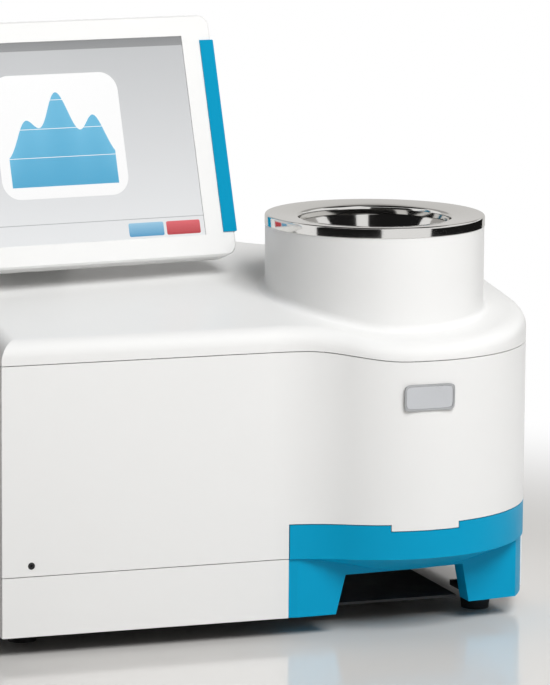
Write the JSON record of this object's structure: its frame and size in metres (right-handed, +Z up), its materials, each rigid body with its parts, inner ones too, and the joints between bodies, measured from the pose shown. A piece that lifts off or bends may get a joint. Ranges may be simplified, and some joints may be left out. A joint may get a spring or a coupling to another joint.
{
  "type": "near-infrared spectrometer",
  "caption": "Bench-top grain analyser: sloped white casing with a round steel hopper, a blue sample drawer and a tilting touch display.",
  "frame": {"origin": "bottom centre of the whole box, on the bench surface", "axes": "+X to the right seen from the front, +Y to the back, +Z up"},
  "size_m": [0.5332, 0.3358, 0.4917],
  "materials": {
    "casing_white": "fine satin moulding",
    "panel_white": "fine powder coat",
    "drawer_blue": "satin moulding",
    "grip_blue": "satin moulding",
    "polished_steel": "mirror polished",
    "plain_steel": "zinc plated sheet",
    "black_steel": "matt powder coat",
    "foot_rubber": "matt",
    "seal_rubber": "matt",
    "machined_aluminium": "milled",
    "black_anodised": "bead blasted and anodised",
    "badge_metal": "brushed with a polished border",
    "grey_plastic": "moulded",
    "black_plastic": "moulded",
    "bin_plastic": "smooth moulding",
    "wheel_rubber": "moulded on a metal core",
    "circuit_board": "solder mask",
    "optical_glass": "polished",
    "mirror_coating": "ruled and coated",
    "screen_glass": "touch glass",
    "panel_back": "lit display",
    "lamp_glass": "quartz capsule on a ceramic base"
  },
  "bodies": {
    "chassis": {"base_tray": "black_steel", "right_sill": "black_steel", "rubber_feet": "foot_rubber", "bay_divider": "plain_steel", "deck_plate": "plain_steel", "front_cover": "casing_white", "lower_front_panel": "casing_white", "left_side_panel": "panel_white", "right_side_panel": "panel_white", "rear_panel": "panel_white", "top_cover": "casing_white", "cover_screw": "black_steel", "badge_plate": "badge_metal", "hopper_rim": "polished_steel", "hopper_funnel": "polished_steel", "funnel_gasket": "seal_rubber", "inlet_duct": "grey_plastic", "cell_block": "black_anodised", "source_window": "optical_glass", "carriage_rods": "plain_steel", "feeder_housing": "grey_plastic", "feeder_cap": "machined_aluminium", "dosing_motor": "black_steel", "drawer_rails": "plain_steel", "optical_bench": "machined_aluminium", "bench_posts": "machined_aluminium", "lamp_housing": "machined_aluminium", "lamp": "lamp_glass", "filter_motor": "black_steel", "monochromator_case": "black_anodised", "grating_motor": "black_steel", "beam_tube": "black_anodised", "beam_lens": "optical_glass", "main_board": "circuit_board", "power_supply": "machined_aluminium", "fan_frame": "black_plastic", "fan_guard": "plain_steel", "power_inlet": "black_plastic", "data_ports": "plain_steel", "display_pedestal": "casing_white"},
    "drawer": {"drawer_front": "drawer_blue", "drawer_bin": "bin_plastic", "drawer_runners": "black_plastic"},
    "dosing_rotor": {"dosing_wheel": "wheel_rubber"},
    "detector": {"detector_carriage": "black_anodised", "detector_window": "optical_glass", "detector_board": "circuit_board"},
    "grating_table": {"grating_mount": "machined_aluminium", "grating": "mirror_coating"},
    "filters": {"filter_wheel": "black_anodised"},
    "fan": {"fan_rotor": "black_plastic"},
    "rocker": {"power_switch": "black_plastic"},
    "swivel": {"swivel_arm": "casing_white"},
    "display": {"tilt_pin": "plain_steel", "display_bezel": "casing_white", "display_back": "casing_white", "touch_glass": "screen_glass", "lcd_panel": "panel_back", "display_board": "circuit_board", "grip_strips": "grip_blue"}
  },
  "joints": [
    {"name": "drawer_slide", "type": "slide", "parent": "chassis", "child": "drawer", "axis": [0, -1, 0], "range_m": [0, 0.15]},
    {"name": "dosing_spin", "type": "hinge", "parent": "chassis", "child": "dosing_rotor", "pos_m": [0.13909, -0.03923, 0.131], "axis": [0, 1, 0], "continuous": true},
    {"name": "path_slide", "type": "slide", "parent": "chassis", "child": "detector", "axis": [1, 0, 0], "range_m": [-0.012, 0.01]},
    {"name": "grating_scan", "type": "hinge", "parent": "chassis", "child": "grating_table", "pos_m": [-0.05291, 0.01577, 0.15], "axis": [0, 0, 1], "range_deg": [-15, 15]},
    {"name": "filter_turn", "type": "hinge", "parent": "chassis", "child": "filters", "pos_m": [-0.12091, -0.02323, 0.195], "axis": [1, 0, 0], "continuous": true},
    {"name": "fan_spin", "type": "hinge", "parent": "chassis", "child": "fan", "pos_m": [-0.02691, 0.15377, 0.108], "axis": [0, 1, 0], "continuous": true},
    {"name": "rocker_tip", "type": "hinge", "parent": "chassis", "child": "rocker", "pos_m": [-0.15691, 0.16377, 0.118], "axis": [-1, 0, 0], "range_deg": [0, 14]},
    {"name": "display_swivel", "type": "hinge", "parent": "chassis", "child": "swivel", "pos_m": [-0.11991, 0.09027, 0.297], "axis": [0, 0, 1], "range_deg": [-21.73, 8.27]},
    {"name": "display_tilt", "type": "hinge", "parent": "swivel", "child": "display", "pos_m": [-0.11639, 0.06048, 0.34101], "axis": [-0.9931, -0.1172, 0], "range_deg": [-6, 18]}
  ]
}
